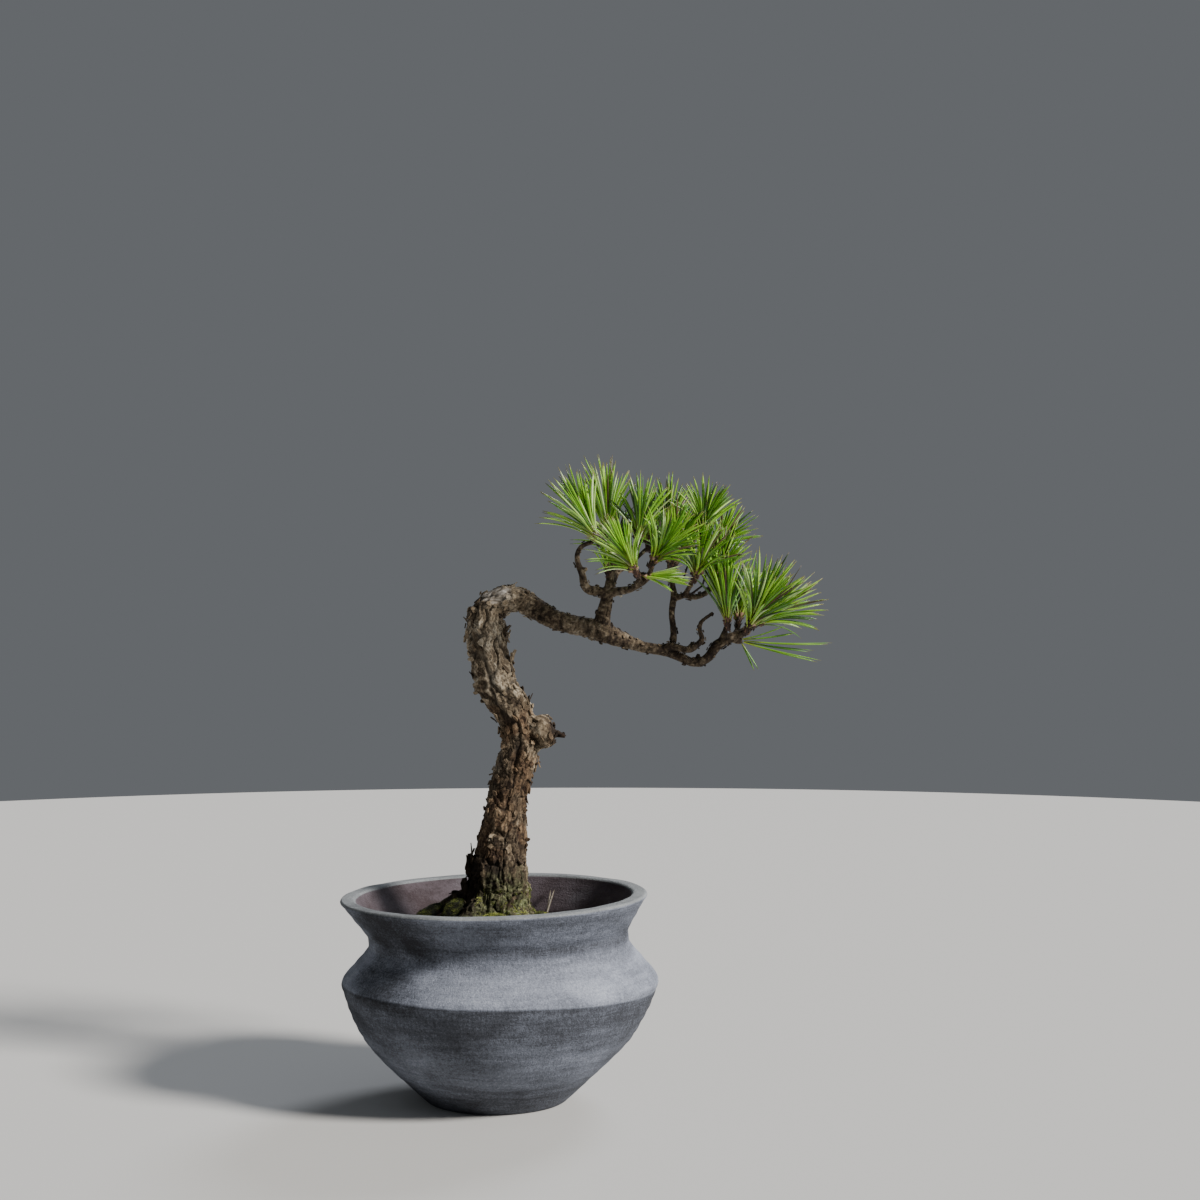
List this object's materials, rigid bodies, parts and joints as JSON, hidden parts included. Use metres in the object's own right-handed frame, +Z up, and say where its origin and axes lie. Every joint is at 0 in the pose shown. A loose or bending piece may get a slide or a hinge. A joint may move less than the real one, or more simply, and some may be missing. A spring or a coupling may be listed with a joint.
{
  "type": "bonsai tree in a pot",
  "caption": "Dwarf pine with a bent trunk and tufted needles, rooted in soil in a ridged, round-bellied stoneware pot that stands on its foot ring.",
  "frame": {"origin": "centre of the base of the whole plant's bounding box, on the surface the pot stands on", "axes": "+Z up, +X the way the bough reaches out, +Y to the back as seen from the front"},
  "size_m": [0.2126, 0.1368, 0.2773],
  "materials": {
    "stoneware": "unglazed dark clay with brushed pale slip",
    "bark": "flaking grey-brown pine bark",
    "needle": "waxy green",
    "dry_needle": "dry, pale brown",
    "moss": "short, matte moss",
    "soil": "damp granular clay soil",
    "grit": "pumice and gravel",
    "plastic_net": "moulded",
    "wire": "drawn"
  },
  "bodies": {
    "root": {"pot": "stoneware", "drain_mesh": "plastic_net", "mesh_clip": "wire", "grit_layer": "grit", "soil": "soil", "trunk_and_branches": "bark", "fallen_needle_pair": "dry_needle", "moss_front": "moss", "moss_front_left": "moss", "moss_left": "moss", "moss_right": "moss", "moss_back_left": "moss", "moss_back": "moss", "needles_left_outer": "needle", "needles_left_top": "needle", "needles_inner_top": "needle", "needles_front": "needle", "needles_front_right": "needle", "needles_back_left": "needle", "needles_back_middle": "needle", "needles_middle_top": "needle", "needles_middle_front": "needle", "needles_back_right": "needle", "needles_crown_right": "needle", "needles_crown_outer": "needle", "needles_under_crown": "needle", "needles_right_shoulder": "needle", "needles_end_inner": "needle", "needles_end_back": "needle", "needles_end_front": "needle", "needles_end_tip": "needle", "needles_end_low": "needle"}
  },
  "joints": []
}
